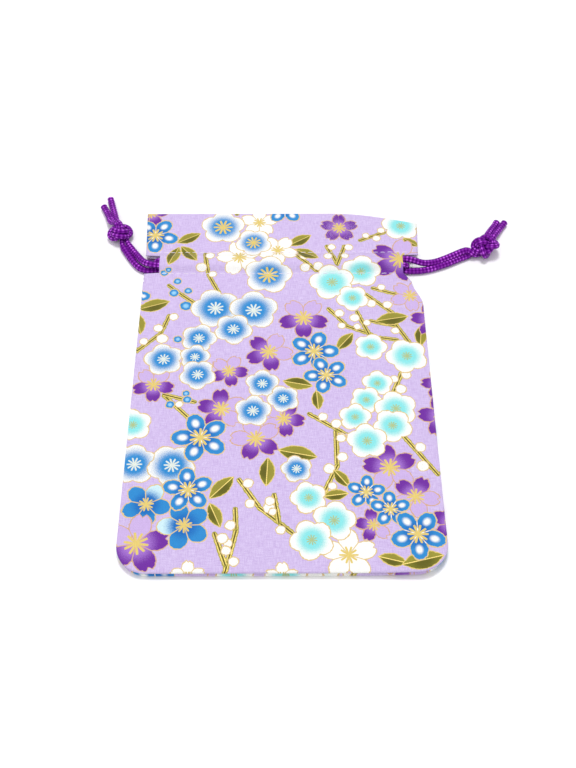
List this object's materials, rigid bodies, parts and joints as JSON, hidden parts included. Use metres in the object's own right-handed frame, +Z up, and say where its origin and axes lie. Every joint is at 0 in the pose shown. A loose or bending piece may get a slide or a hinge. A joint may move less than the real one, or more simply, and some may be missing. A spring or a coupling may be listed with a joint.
{
  "type": "drawstring pouch",
  "caption": "Small flat kinchaku pouch of floral printed cotton with a stitched casing and braided drawstrings that leave it at both sides, each ending in a knot.",
  "frame": {"origin": "middle of the pouch's underside, on the surface that it lies on, drawstrings left out", "axes": "+X across the pouch to its right side, +Y from the bottom seam towards the mouth, +Z up off the front panel"},
  "size_m": [0.1544, 0.1588, 0.0076],
  "materials": {
    "printed_cotton": "matt plain-weave cotton, lavender ground with a traditional plum and cherry blossom print and fine gold outlines",
    "purple_braid": "soft-sheen braided cord"
  },
  "bodies": {
    "root": {"back_panel": "printed_cotton", "front_panel": "printed_cotton", "left_drawstring": "purple_braid", "right_drawstring": "purple_braid"}
  },
  "joints": []
}
